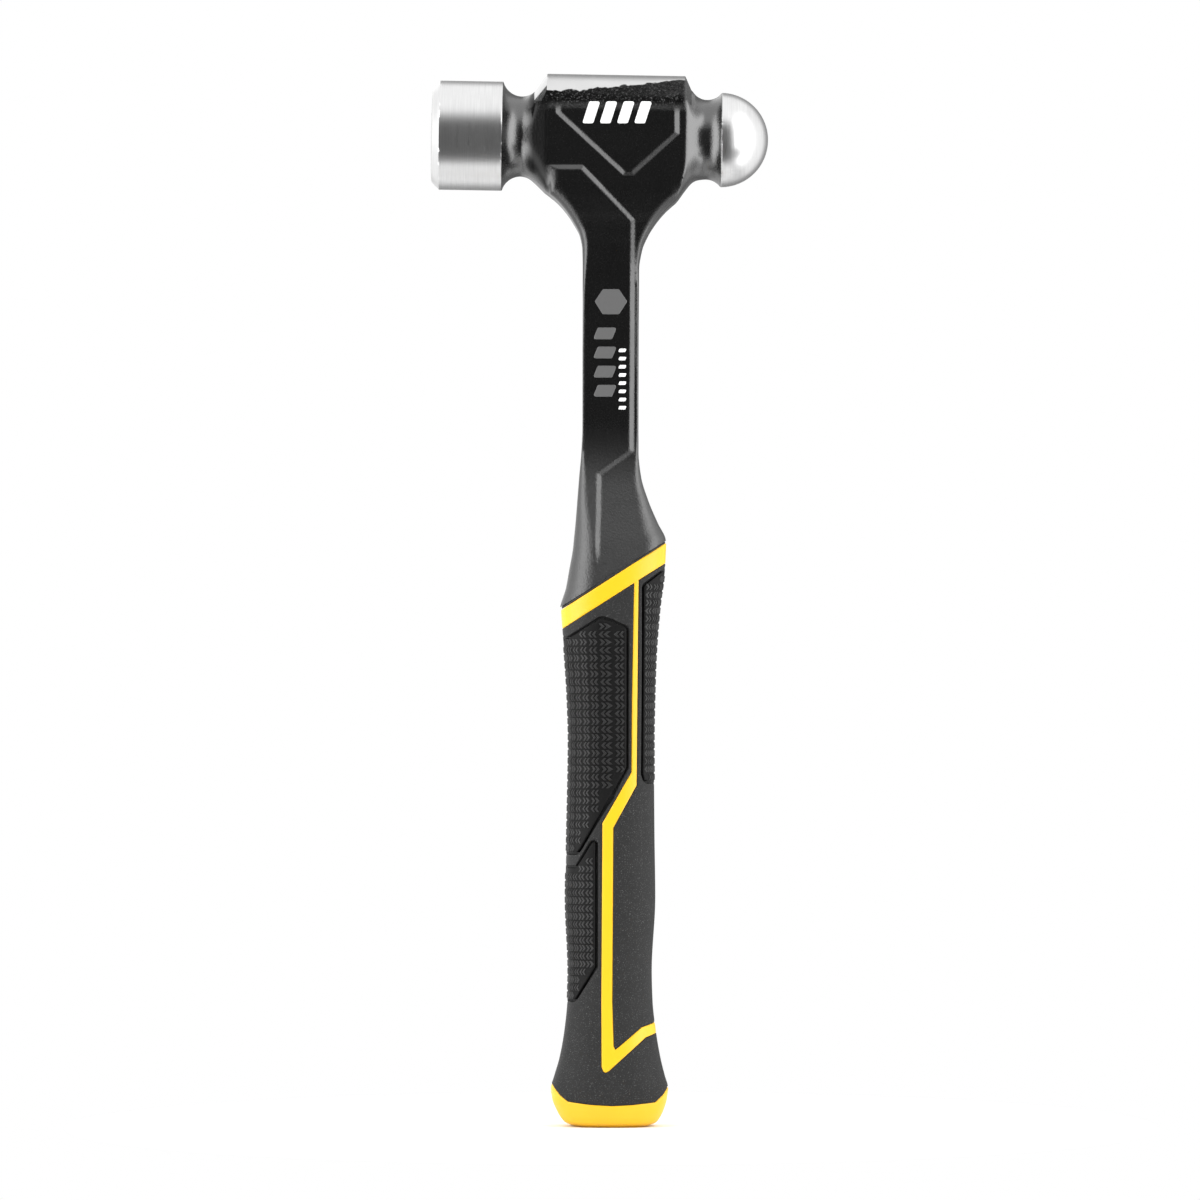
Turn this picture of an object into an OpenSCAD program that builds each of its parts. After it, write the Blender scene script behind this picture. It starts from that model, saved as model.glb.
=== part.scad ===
// Ball peen hammer with a one-piece forged steel head and shaft.
// Millimetres. The origin is the centre of the butt's bottom; +Z runs up the handle,
// +X points to the ball, -X to the striking face, and Y is across the cheeks.

/* [Head] */
// Height of the head's turning axis above the butt, where it crosses the handle
head_axis_z = 362.5; // [358:0.5:368]
// Lean of the head's axis, ball end down, in degrees
head_tilt = 1; // [0:0.5:2]
// Diameter of the striking end (poll)
poll_d = 40; // [38:0.5:41]
// Distance from the handle's centre line to the striking face
poll_reach = 65.7; // [64:0.1:68]
// Bevel round the striking face
poll_bevel = 2.9; // [1:0.1:4]
// Distance from the handle's centre line to the bottom of the poll's neck
poll_neck_reach = 32.8; // [32:0.1:34]
// Diameter at the bottom of the poll's neck
poll_neck_d = 29.4; // [28:0.2:31]
// Radius of the poll's concave neck
poll_neck_r = 7.2; // [6.6:0.1:7.6]
// Diameter of the ball peen
ball_d = 34.6; // [33:0.2:36]
// Distance from the handle's centre line to the ball's centre
ball_reach = 40.4; // [40:0.1:42]
// Distance from the handle's centre line to the bottom of the ball's neck
ball_neck_reach = 35.1; // [34.8:0.1:35.6]
// Diameter at the bottom of the ball's neck
ball_neck_d = 29.2; // [27:0.2:30]
// Radius of the ball's concave neck
ball_neck_r = 6.6; // [6.2:0.1:7]
// Diameter of the turned crown over the cheeks
crown_d = 46.4; // [45:0.2:48]
// Bevel at both ends of the crown
crown_bevel = 2; // [1:0.1:3]
// Half thickness of the cheeks round their raised shield
cheek_t = 17; // [15:0.1:18]
// Height that the raised panels stand above the surface round them
panel_rise = 1; // [0.5:0.1:1.5]

/* [Shaft and tang] */
// Half thickness of the shaft between its raised panels
shaft_t = 6; // [5:0.25:7]
// Width of the tang inside the grip
tang_w = 19; // [16:0.5:23]
// Thickness of the tang
tang_t = 8; // [6:0.5:10]
// Height of the tang's lower end above the butt
tang_z = 30; // [24:1:60]
// Width of the slot that splits the tang into two tines
slot_w = 6; // [4:0.5:8]
// Length of that slot
slot_len = 120; // [80:1:140]

/* [Grip] */
// Slope of the collar across the handle, in degrees
collar_slope = 32.2; // [30:0.1:34]
// Height of the collar's upper edge at the handle's centre line
collar_z = 201; // [199:0.5:203]
// Height of the collar, measured straight up
collar_h = 7.2; // [6:0.2:8]
// Height of the seal between the forging and the collar
seal_h = 1; // [0.6:0.1:1.4]
// Depth that the seal and the forging's foot are set in from the grip's surface
seal_inset = 0.4; // [0.2:0.1:0.8]
// Thickness of the grip's outer layer over its core
skin_t = 4; // [3.5:0.1:4.5]
// Thickness of the textured pads let into the outer layer
pad_t = 1.6; // [1.2:0.1:2]
// Height of the butt cap at its centre
cap_h = 8.4; // [7:0.2:9]

/* [Hidden] */

far = 200;               // larger than any cut needs to reach
grip_sides = 32;         // points round a grip section
blade_sides = 32;        // points round a shaft section
turned_fn = 96;
tan_slope = tan(collar_slope);

// Grip sections: height, reach left, reach right, half depth, squareness.
GRIP = [[0, 13, 13, 9.5, 2.6], [1.6, 17, 16.8, 12.6, 2.6], [6, 20, 19.4, 14.2, 2.5],
        [10.5, 21.7, 20.7, 14.9, 2.5], [14, 22, 21, 15, 2.5], [18.5, 20.8, 19.8, 14.6, 2.5],
        [25, 18.9, 18.2, 13.7, 2.4], [35, 17.1, 16.5, 12.9, 2.4], [46, 16, 15.3, 12.3, 2.4],
        [57, 15.7, 15, 12.2, 2.4], [84, 16.7, 16.3, 13, 2.4], [108, 16.2, 16, 12.8, 2.4],
        [142, 15.6, 15.8, 12.4, 2.4], [158, 16.1, 16.1, 12.5, 2.4], [172, 17, 16.6, 12.6, 2.4],
        [190, 18.4, 18, 12.5, 2.4], [205, 19.3, 19.9, 12.2, 2.4], [222, 20.3, 20.6, 11.6, 2.4]];

// Shaft sections below the cheeks, in the same form.
BLADE = [[184, 18.6, 20, 11.4, 2.6], [196, 17, 20, 11, 2.7], [204, 15.6, 20, 10.4, 2.8],
         [214, 13.8, 19.8, 9.4, 3], [222, 12.9, 16.9, 8.4, 3.2], [232, 12, 12.9, 7, 3.6],
         [243, 11.2, 10.6, 6.1, 4.4], [252, 10.6, 10.1, shaft_t, 5], [285, 10.4, 10.2, shaft_t, 5],
         [305, 10.3, 10.2, 6.3, 5], [314, 10.3, 10.4, 7.4, 5], [322, 10.4, 11.7, 9.2, 4.6],
         [327, 11.5, 13.7, 10.8, 4.2], [332, 14.2, 17, 12.6, 4], [336, 17, 20.3, 14.2, 3.8],
         [340, 20.7, 24.6, 15.4, 3.6], [344, 25.6, 27.8, 15.9, 3.2], [346.6, 30, 29.6, 15, 2.6],
         [348, 33, 30.4, 14, 2.2]];

// Outline of the raised panel on the shaft, seen from the front.
SHAFT_PANEL = [[-30, 351], [-10.6, 351], [8.6, 331.5], [8.8, 247], [-3.9, 238], [-4.6, 206],
               [-30, 206]];
// Outline of the raised shield on the cheek.
SHIELD = [[-18.7, 400], [-18.7, 371], [5, 348.6], [7.6, 348.6], [23.6, 363.4], [23.6, 400]];

// Outlines on the grip, seen from the front. The accent stripe runs from the collar down the
// finger side, crosses to the middle, and forks to the finger side above the butt.
STRIPE = [[8.5, 230], [10.1, 230], [9.9, 156], [9.5, 125.2], [1, 109.6], [0.6, 46.4],
          [2.6, 29.4], [11.4, 36.7], [30, 38.4], [30, 34.3], [12.9, 33], [-0.6, 20.9],
          [-2.2, 20.3], [-3.6, 21.7], [-3.3, 111], [7.6, 129.8], [7.9, 156]];
FINGER_SIDE = [[9.2, 230], [9, 156], [8.6, 127.4], [-1, 110], [-1, 24], [12, 35], [30, 36.4],
               [30, 230]];
PAD_UPPER = [[-30, 186.5], [-15.8, 178.8], [-3.4, 186.2], [5.7, 182.6], [5.7, 131.4],
             [-11.8, 101.6], [-12.8, 100.6], [-30, 101]];
PAD_LOWER = [[-30, 95.4], [-12.6, 94.8], [-6.5, 104.7], [-5.9, 104.2], [-5.9, 58.8],
             [-13.4, 46.7], [-30, 47]];
PAD_FINGER = [[12.4, 198.4], [30, 212], [30, 126.9], [13.4, 126.9], [11.8, 129.2]];

// One row between rows b and c of a table, on a smooth curve through a, b, c and d.
function blend(a, b, c, d, t) =
    b + t / 2 * ((c - a) + t * ((2 * a - 5 * b + 4 * c - d) + t * (3 * (b - c) + d - a)));
function row(rows, i) = rows[min(max(i, 0), len(rows) - 1)];
function smooth_rows(rows, steps) = concat(
    [for (i = [0 : len(rows) - 2]) for (k = [0 : steps - 1])
        blend(row(rows, i - 1), rows[i], rows[i + 1], row(rows, i + 2), k / steps)],
    [rows[len(rows) - 1]]);

function power(v, e) = sign(v) * pow(abs(v), e);
// A point of a rounded section at angle a, grown outward by g.
function section_point(r, a, g) = [
    (cos(a) < 0 ? r[1] + g : r[2] + g) * power(cos(a), 2 / r[4]),
    (r[3] + g) * power(sin(a), 2 / r[4]), r[0]];

// A solid through the sections in rows, with its surface moved outward by grow.
module loft(rows, sides, grow = 0) {
    n = len(rows);
    polyhedron(
        points = [for (r = rows) for (j = [0 : sides - 1]) section_point(r, 360 * j / sides, grow)],
        faces = concat(
            [[for (j = [0 : sides - 1]) j]],
            [for (i = [0 : n - 2]) for (j = [0 : sides - 1])
                [i * sides + j, (i + 1) * sides + j, i * sides + (j + 1) % sides]],
            [for (i = [0 : n - 2]) for (j = [0 : sides - 1])
                [i * sides + (j + 1) % sides, (i + 1) * sides + j, (i + 1) * sides + (j + 1) % sides]],
            [[for (j = [sides - 1 : -1 : 0]) (n - 1) * sides + j]]));
}

// A front-view outline as a prism right through the handle.
module through(outline) {
    rotate([90, 0, 0]) linear_extrude(far, center = true) polygon(outline);
}

// Everything below the sloping plane that crosses the centre line at height z.
module below_slope(z) {
    through([[-far, z - far * tan_slope], [far, z + far * tan_slope], [far, -far], [-far, -far]]);
}

module on_head_axis() {
    translate([0, 0, head_axis_z]) rotate([0, 90 + head_tilt, 0]) children();
}

module grip_body(grow = 0) { loft(GRIP, grip_sides, grow); }

// The grip's outer layer, between two depths below its surface.
module skin(outer, inner) {
    difference() {
        grip_body(-outer);
        grip_body(-inner);
    }
}

// The part of the handle that the collar and the butt cap leave to the layer between them.
module between_collar_and_cap() {
    difference() {
        below_slope(collar_z - collar_h);
        cap_zone();
    }
}

// The groove of a neck, as cut in the head's turned profile: radius across, axis up.
module neck_groove(reach, bottom_d, r) {
    translate([bottom_d / 2 + r, reach]) {
        circle(r);
        translate([0, -r]) square([far, 2 * r]);
    }
}

// Everything that is turned about the head's axis: poll, necks, crown and ball.
module turned_profile() {
    crown_r = crown_d / 2;
    crown_start = poll_neck_r - poll_neck_reach;
    crown_end = ball_neck_reach - ball_neck_r;
    difference() {
        union() {
            polygon([[0, -poll_reach], [poll_d / 2 - poll_bevel, -poll_reach],
                     [poll_d / 2, -poll_reach + poll_bevel], [poll_d / 2, -poll_neck_reach],
                     [0, -poll_neck_reach]]);
            polygon([[0, -poll_neck_reach], [crown_r - crown_bevel, -poll_neck_reach],
                     [crown_r - crown_bevel, crown_start], [crown_r, crown_start + crown_bevel],
                     [crown_r, crown_end - crown_bevel], [crown_r - crown_bevel, crown_end],
                     [crown_r - crown_bevel, ball_neck_reach], [0, ball_neck_reach]]);
            square([ball_d / 2, ball_reach]);
            intersection() {
                translate([0, ball_reach]) circle(d = ball_d);
                square([ball_d, 2 * ball_reach]);
            }
        }
        neck_groove(-poll_neck_reach, poll_neck_d, poll_neck_r);
        neck_groove(ball_neck_reach, ball_neck_d, ball_neck_r);
    }
}

// Seen from above, the room that the head has: flat cheeks between the necks, any width beyond.
module head_plan(cheek) {
    linear_extrude(2 * head_axis_z) difference() {
        square(far, center = true);
        for (side = [-1, 1]) translate([-poll_neck_reach, side > 0 ? cheek : -cheek - far])
            square([poll_neck_reach + ball_neck_reach, far]);
    }
}

module head(cheek) {
    intersection() {
        on_head_axis() rotate_extrude($fn = turned_fn) turned_profile();
        head_plan(cheek);
    }
}

// The shaft with its flare, grown in depth where the panels stand up.
module blade(rise) {
    difference() {
        loft(smooth_rows([for (r = BLADE) [r[0], r[1], r[2], r[3] + rise, r[4]]], 2), blade_sides);
        below_slope(collar_z + seal_h);
    }
}

module tang(slotted = true) {
    top = collar_z + 8;
    difference() {
        translate([-tang_w / 2, -tang_t / 2, tang_z]) cube([tang_w, tang_t, top - tang_z]);
        if (slotted) slot_fill();
    }
}

// The slot between the tines, with a round root.
module slot_fill() {
    root_z = tang_z + slot_len - slot_w / 2;
    translate([-slot_w / 2, -tang_t / 2, tang_z]) cube([slot_w, tang_t, root_z - tang_z]);
    translate([0, tang_t / 2, root_z]) rotate([90, 0, 0]) cylinder(d = slot_w, h = tang_t, $fn = 48);
}

module cap_zone() {
    through([[-far, cap_h + 32], [-21.8, 15.4], [-15.8, 9.4], [0, cap_h - 0.2], [16.4, 9.2],
             [21.5, 14.8], [far, cap_h + 32], [far, -far], [-far, -far]]);
}

module forging() {
    color("dimgray") union() {
        head(cheek_t);
        intersection() {
            head(cheek_t + panel_rise);
            through(SHIELD);
        }
        blade(0);
        intersection() {
            blade(panel_rise);
            through(SHAFT_PANEL);
        }
        tang();
    }
}

module tang_damper() { color("darkorange") slot_fill(); }

module grip_core() {
    color("darkslategray") difference() {
        intersection() {
            grip_body(-skin_t);
            below_slope(collar_z);
        }
        cap_zone();
        tang(slotted = false);
    }
}

module collar_seal() {
    color("black") difference() {
        intersection() {
            grip_body(-seal_inset);
            below_slope(collar_z + seal_h);
        }
        below_slope(collar_z);
        tang(slotted = false);
    }
}

module accent_frame() {
    color("gold") intersection() {
        skin(0, skin_t);
        union() {
            difference() {
                below_slope(collar_z);
                below_slope(collar_z - collar_h);
            }
            intersection() {
                through(STRIPE);
                between_collar_and_cap();
            }
        }
    }
}

// The outer layer less the accent stripe and the pads' pockets.
module rubber_layer() {
    difference() {
        intersection() {
            skin(0, skin_t);
            between_collar_and_cap();
        }
        through(STRIPE);
        difference() {
            for (outline = [PAD_UPPER, PAD_LOWER, PAD_FINGER]) through(outline);
            grip_body(-pad_t);
        }
    }
}

module grip_skin() {
    color("dimgray") difference() {
        rubber_layer();
        through(FINGER_SIDE);
    }
}

module finger_skin() {
    color("gray") intersection() {
        rubber_layer();
        through(FINGER_SIDE);
    }
}

module pad(outline) {
    color("darkgray") intersection() {
        skin(0, pad_t);
        through(outline);
    }
}

module palm_pad_upper() { pad(PAD_UPPER); }
module palm_pad_lower() { pad(PAD_LOWER); }
module finger_pad() { pad(PAD_FINGER); }

module butt_cap() {
    color("yellow") intersection() {
        grip_body();
        cap_zone();
    }
}

forging();
tang_damper();
grip_core();
collar_seal();
accent_frame();
grip_skin();
finger_skin();
palm_pad_upper();
palm_pad_lower();
finger_pad();
butt_cap();
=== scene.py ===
import math
from functools import partial

import bmesh
import bpy
import numpy as np
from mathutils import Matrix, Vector
from mathutils.geometry import delaunay_2d_cdt


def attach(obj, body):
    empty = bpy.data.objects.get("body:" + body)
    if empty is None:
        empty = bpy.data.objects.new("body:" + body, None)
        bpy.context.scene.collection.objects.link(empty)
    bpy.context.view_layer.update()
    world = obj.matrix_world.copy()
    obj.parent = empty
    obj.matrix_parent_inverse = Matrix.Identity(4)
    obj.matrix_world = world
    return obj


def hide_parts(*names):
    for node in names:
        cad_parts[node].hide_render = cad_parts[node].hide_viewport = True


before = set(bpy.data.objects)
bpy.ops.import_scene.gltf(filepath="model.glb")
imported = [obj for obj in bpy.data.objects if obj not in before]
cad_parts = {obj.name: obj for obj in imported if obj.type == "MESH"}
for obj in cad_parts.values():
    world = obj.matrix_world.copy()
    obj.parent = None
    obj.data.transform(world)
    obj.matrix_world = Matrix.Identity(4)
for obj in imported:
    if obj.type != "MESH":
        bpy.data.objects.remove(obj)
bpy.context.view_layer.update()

# Lengths are in millimetres up to new_piece(), which makes every mesh in metres.
MM = 0.001
BODY = "root"


# ------------------------ driving dimensions

HEAD_Z = 362.5                     # height of the head's axis at the handle's centre line
HEAD_TILT = math.radians(1.0)      # lean of that axis, ball end down
POLL_R, POLL_REACH, POLL_BEVEL = 19.99, 65.69, 2.9
POLL_NECK_X, POLL_NECK_R, POLL_GROOVE_R = -32.8, 14.7, 7.2
BALL_R, BALL_X = 17.28, 40.4
BALL_NECK_X, BALL_NECK_R, BALL_GROOVE_R = 35.1, 14.6, 6.6
CROWN_R = 23.16
CROWN_ENDS = (-23.7, 26.9)         # where the crown's conical ends start
CONE_L, CONE_R = 0.67, 0.46        # how far those cones run for each millimetre of radius
CONE_SPREAD = 1.3                  # how far they reach round the crown, across for each unit up
NECK_LOW = -27.0                   # how far below the head's axis the necks shape the body
FLANK_END_X = 31.9                 # where the ball side's flank runs out into the neck
CHEEK_T = 17.0                     # half thickness of the cheeks round the shield
SHAFT_T = 6.0                      # half thickness of the shaft round its panel
PANEL_RISE = 1.0                   # how far the shield and the shaft's panel stand out
PANEL_BEVEL = 1.8                  # width of the slope round a raised panel
COLLAR_TAN = math.tan(math.radians(32.2))
COLLAR_Z, COLLAR_H, SEAL_H, SEAL_INSET = 201.0, 7.2, 1.0, 0.4
TANG_W, TANG_T, TANG_Z, SLOT_W, SLOT_LEN = 19.0, 8.0, 30.0, 6.0, 120.0
SKIN_T, PAD_T, GROOVE_W, GROOVE_DEPTH = 4.0, 1.45, 1.0, 1.5
VOXEL = 0.62                       # grid step of the forging's mesh
SAME_POINT = 1e-6                  # metres; points closer than this are one

PANEL_FADE = (203, 214)            # heights over which the shaft's panel sinks into the foot
FLANK_L, FLANK_R = 0.25, 0.275     # how fast the cheeks widen away from the two necks
CHAMFER_W = 13.8                   # where the rough chamfer over the cheeks starts, up from the axis
CHAMFER_LEAN, CHAMFER_TWIST = 29, 20   # its lean in degrees at the poll, and the rest at the ball
OVERLAP = 0.5                      # how far the halves of a neck run past its middle
GRIND_LOW = (8, 10)                # how far above the axis the crown's grinding starts
# radii of the forging's edges
FACE_EDGE, POLL_EDGE, BALL_EDGE, CROWN_EDGE = 0.3, 0.35, 0.3, 0.2
JOIN_EDGE, FOOT_EDGE, CHAMFER_EDGE = 0.25, 0.15, 1.2
# how each neck meets the cheeks: where its upper half opens out, and where its lower half starts
# to slope, and how steeply
POLL_FLARE, BALL_FLARE = (3.9, 2.6, 0.95), (6.6, 4.9, 1.5)

# The forging below the cheeks: height, reach left, reach right, half depth, edge radius.
BLADE = [(180, 19.6, 20.3, 12.2, 11), (189.9, 18.7, 20.3, 12, 11), (197.4, 16.5, 20.3, 11.7, 10.4),
         (204, 15.3, 20.3, 11.3, 9.6), (212, 13.9, 20.25, 10.5, 8.4), (215, 13.6, 20.1, 10.1, 7.8),
         (221, 13, 17.3, 9.1, 6.4), (229.7, 12.3, 13.6, 7.7, 4.2), (238.5, 11.6, 11, 6.6, 2.8),
         (247.4, 10.8, 10.1, 6.05, 1.1), (256, 10.45, 10.1, 6, 0.7), (285, 10.4, 10.2, 6, 0.7),
         (305, 10.35, 10.3, 6.3, 0.8), (314, 10.35, 10.35, 7.4, 1.6), (321.5, 10.5, 11.5, 9.2, 2.4),
         (326.6, 11.4, 13.6, 10.9, 2.8), (331, 13.6, 16.3, 12.4, 3), (335.4, 16.5, 19.9, 14.2, 3.2),
         (339.8, 20.5, 24.8, 15.8, 3.4), (342, 23.6, 27.4, 16.5, 3.6), (344, 28.2, 31.5, 16.9, 4),
         (346, 35, 38, 17, 4), (350, 55, 55, 17, 4), (356, 90, 70, 17, 4), (400, 90, 70, 17, 4)]

# Grip sections: height, reach left, reach right, half depth, squareness.
GRIP = [(0, 13, 13, 9.5, 2.6), (1.6, 17, 16.8, 12.6, 2.6), (6, 20, 19.4, 14.2, 2.5),
        (10.5, 21.7, 20.7, 14.9, 2.5), (14, 22, 21, 15, 2.5), (18.5, 20.8, 19.8, 14.6, 2.5),
        (25, 18.9, 18.2, 13.7, 2.4), (35, 17.1, 16.5, 12.9, 2.4), (46, 16, 15.3, 12.3, 2.4),
        (57, 15.7, 15, 12.2, 2.4), (84, 16.7, 16.3, 13, 2.4), (108, 16.2, 16, 12.8, 2.4),
        (142, 15.6, 15.8, 12.4, 2.4), (158, 16.1, 16.1, 12.5, 2.4), (172, 17, 16.6, 12.6, 2.4),
        (190, 18.4, 18, 12.5, 2.4), (205, 19.3, 19.9, 12.2, 2.4), (222, 20.3, 20.6, 11.6, 2.4)]

# Outlines seen from the front.
SHAFT_PANEL = [(-60, 351), (-10.6, 351), (8.0, 331.8), (7.6, 247.6), (-4.3, 239), (-5, 206), (-60, 206)]
SHIELD = [(-19.2, 420), (-19.2, 371), (5, 348.6), (7.6, 348.6), (24.1, 363.4), (24.1, 420)]


# ------------------------ curves and blends

def smooth_table(rows):
    """A function of height that runs smoothly through a table's rows, without overshoot."""
    table = np.array(rows, float)
    at, value = table[:, 0], table[:, 1:]
    gap = np.diff(at)[:, None]
    slope = np.diff(value, axis=0) / gap
    tangent = np.zeros_like(value)
    inner = slope[:-1] * slope[1:] > 0
    safe = np.where(inner, slope[:-1] + slope[1:], 1.0)
    tangent[1:-1] = np.where(inner, 2 * slope[:-1] * slope[1:] / safe, 0.0)
    tangent[0], tangent[-1] = slope[0], slope[-1]

    def sample(height):
        h = np.clip(np.asarray(height, float), at[0], at[-1])
        i = np.clip(np.searchsorted(at, h, side="right") - 1, 0, len(at) - 2)
        g = (at[i + 1] - at[i])[..., None]
        t = ((h - at[i])[..., None]) / g
        a, b = value[i], value[i + 1]
        m, n = tangent[i] * g, tangent[i + 1] * g
        bend = (2 * t ** 3 - 3 * t ** 2 + 1) * a + (t ** 3 - 2 * t ** 2 + t) * m
        return bend + (3 * t ** 2 - 2 * t ** 3) * b + (t ** 3 - t ** 2) * n

    return sample


def round_max(a, b, k):
    """The larger of two fields, with the edge where they meet rounded to radius k."""
    pa, pb = np.maximum(a + k, 0), np.maximum(b + k, 0)
    return np.maximum(np.minimum(np.maximum(a, b), -k), np.hypot(pa, pb) - k)


def soft_min(a, b, k):
    """The smaller of two fields, blended over a width k."""
    h = np.maximum(k - np.abs(a - b), 0) / k
    return np.minimum(a, b) - h * h * k / 4


def outline_distance(x, z, points):
    """Signed distance from an outline, positive inside."""
    best = np.full(np.broadcast(x, z).shape, 1e9)
    inside = np.zeros(best.shape, bool)
    for (ax, az), (bx, bz) in zip(points, points[1:] + points[:1]):
        ex, ez = bx - ax, bz - az
        t = np.clip(((x - ax) * ex + (z - az) * ez) / (ex * ex + ez * ez), 0, 1)
        best = np.minimum(best, np.hypot(x - ax - t * ex, z - az - t * ez))
        if ez:
            inside ^= ((az > z) != (bz > z)) & (x < ex * (z - az) / ez + ax)
    return np.where(inside, best, -best)


def lattice_noise(x, z, size, seed):
    """Smooth noise from -1 to 1 on a square lattice."""
    values = np.random.default_rng(seed).uniform(-1, 1, (64, 64))
    gx, gz = x / size, z / size
    i, j = np.floor(gx).astype(int), np.floor(gz).astype(int)
    fx, fz = gx - i, gz - j
    fx, fz = fx * fx * (3 - 2 * fx), fz * fz * (3 - 2 * fz)
    a, b = values[i % 64, j % 64], values[(i + 1) % 64, j % 64]
    c, d = values[i % 64, (j + 1) % 64], values[(i + 1) % 64, (j + 1) % 64]
    return (a * (1 - fx) + b * fx) * (1 - fz) + (c * (1 - fx) + d * fx) * fz


def ramp(value, start, end):
    """0 before start, 1 past end, and smooth between."""
    t = np.clip((value - start) / (end - start), 0, 1)
    return t * t * (3 - 2 * t)


# ------------------------ the forging's field

blade_at = smooth_table(BLADE)
COS_T, SIN_T = math.cos(HEAD_TILT), math.sin(HEAD_TILT)
FAR_INSIDE = -9.0                  # a field value too low to shape anything


def panel_height(x, z):
    """Height that the shield and the shaft's panel add to the front and back."""
    inside = np.maximum(outline_distance(x, z, SHIELD), outline_distance(x, z, SHAFT_PANEL))
    t = np.clip(inside / PANEL_BEVEL + 0.5, 0, 1)
    return PANEL_RISE * t * ramp(z, *PANEL_FADE)


def forging_field(x, y, z):
    """Below zero inside the forging. x and z may be one slice that y is spread over."""
    ay = np.abs(y)
    u = x * COS_T - (z - HEAD_Z) * SIN_T
    w = x * SIN_T + (z - HEAD_Z) * COS_T
    r = np.hypot(w, ay)

    # the poll and the ball, turned about the head's axis, each with half of its neck
    bevel = ((r - POLL_R) - (u + POLL_REACH - POLL_BEVEL)) / math.sqrt(2)
    poll = round_max(np.maximum(r - POLL_R, bevel), -POLL_REACH - u, FACE_EDGE)
    groove = np.hypot(u - POLL_NECK_X, np.minimum(r - POLL_NECK_R - POLL_GROOVE_R, 0))
    poll = np.maximum(round_max(poll, POLL_GROOVE_R - groove, POLL_EDGE), u - POLL_NECK_X - OVERLAP)
    ball = np.where(u > BALL_X, np.hypot(u - BALL_X, r), r) - BALL_R
    groove = np.hypot(u - BALL_NECK_X, np.minimum(r - BALL_NECK_R - BALL_GROOVE_R, 0))
    ball = np.maximum(round_max(ball, BALL_GROOVE_R - groove, BALL_EDGE), BALL_NECK_X - u - OVERLAP)

    # the forged body: cheeks that ramp down to the necks, and the blade under them
    left, right, depth, edge = np.moveaxis(blade_at(z), -1, 0)
    step = 0.5
    above, below = blade_at(z + step), blade_at(z - step)
    lean_l = (above[..., 0] - below[..., 0]) / (2 * step)
    lean_r = (above[..., 1] - below[..., 1]) / (2 * step)
    side = np.maximum((-x - left) / np.hypot(1, lean_l), (x - right) / np.hypot(1, lean_r))
    past = FLANK_END_X - u
    ramp_l = POLL_NECK_R + (u - POLL_NECK_X) * FLANK_L
    ramp_r = BALL_NECK_R + FLANK_R * (past + np.hypot(past, 1.5))
    ramps = soft_min(ramp_l, ramp_r, 0.5)
    flank = np.where(w > -30, soft_min(ramps, depth + 0 * x, 0.3), depth)
    rough = ramp(w, 9, 14) * ramp(u, -33, -27) * ramp(-u, -30, -26)
    relief = panel_height(x, z) * ramp(u, -25.5, -22.5) * ramp(-u, -28, -25.5)
    skin = rough * (0.09 * lattice_noise(x, z, 2.3, 3) + 0.05 * lattice_noise(x, z, 1.25, 5))
    skin = skin + 0.03 * lattice_noise(x, z, 9.0, 7)
    front = ay - (flank + relief + skin)
    body = round_max(front, side, edge)

    # the top of the cheeks: a rough chamfer, the ground crown and its conical ends
    lean = np.radians(CHAMFER_LEAN + CHAMFER_TWIST * np.clip((u + 22) / 46, 0, 1))
    chamfer = (ay - CHEEK_T - PANEL_RISE) * np.cos(lean) + (w - CHAMFER_W) * np.sin(lean)
    body = round_max(body, chamfer - 2 * skin, CHAMFER_EDGE)
    end_l = ((r - CROWN_R) * CONE_L - (u - CROWN_ENDS[0])) / math.hypot(CONE_L, 1)
    end_r = ((r - CROWN_R) * CONE_R + (u - CROWN_ENDS[1])) / math.hypot(CONE_R, 1)
    ends = np.maximum(np.minimum(end_l, r - 16), np.minimum(end_r, r - 18))
    ends = np.minimum(ends, (w * CONE_SPREAD - ay) / math.hypot(CONE_SPREAD, 1))
    crown = round_max(r - CROWN_R, ends, CROWN_EDGE)
    body = round_max(body, np.where(w > 0, crown, FAR_INSIDE), JOIN_EDGE)

    # the forged necks, round at their bottoms and squarer towards the cheeks
    for away, neck_r, groove_r, (opening, start, slope) in (
            (u - POLL_NECK_X, POLL_NECK_R, POLL_GROOVE_R, POLL_FLARE),
            (BALL_NECK_X - u, BALL_NECK_R, BALL_GROOVE_R, BALL_FLARE)):
        away = np.maximum(away, 0)
        upper = neck_r + groove_r - np.sqrt(np.maximum(groove_r ** 2 - away ** 2, 0))
        upper = upper + 6 * np.maximum(away - opening, 0)
        lower = neck_r + slope * (away - start + np.hypot(away - start, 2)) / 2
        lower = lower - slope * (math.hypot(start, 2) - start) / 2 + 4 * np.maximum(away - 10.7, 0)
        power = 2 + 4 * np.clip(away / 9, 0, 1) ** 2
        wide, tall = ay / ramps, np.abs(w) / np.where(w > 0, upper, lower)
        neck = ((wide ** power + tall ** power) ** (1 / power) - 1) * neck_r
        body = round_max(body, np.where(w > NECK_LOW, neck, FAR_INSIDE), JOIN_EDGE)
    body = np.maximum(body, np.maximum(POLL_NECK_X - OVERLAP - u, u - BALL_NECK_X - OVERLAP))

    # the foot above the seal, and the forked tang
    foot = (COLLAR_Z + SEAL_H - (z - x * COLLAR_TAN)) / math.hypot(1, COLLAR_TAN)
    body = round_max(body, foot, FOOT_EDGE)
    tang = np.maximum(np.maximum(np.abs(x) - TANG_W / 2, ay - TANG_T / 2),
                      np.maximum(TANG_Z - z, z - COLLAR_Z - 12))
    root_z = TANG_Z + SLOT_LEN - SLOT_W / 2
    slot = SLOT_W / 2 - np.hypot(x, np.maximum(z - root_z, 0))
    tang = np.maximum(tang, slot)
    return np.minimum(np.minimum(poll, ball), np.minimum(body, tang))


# ------------------------ a mesh from a field

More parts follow.
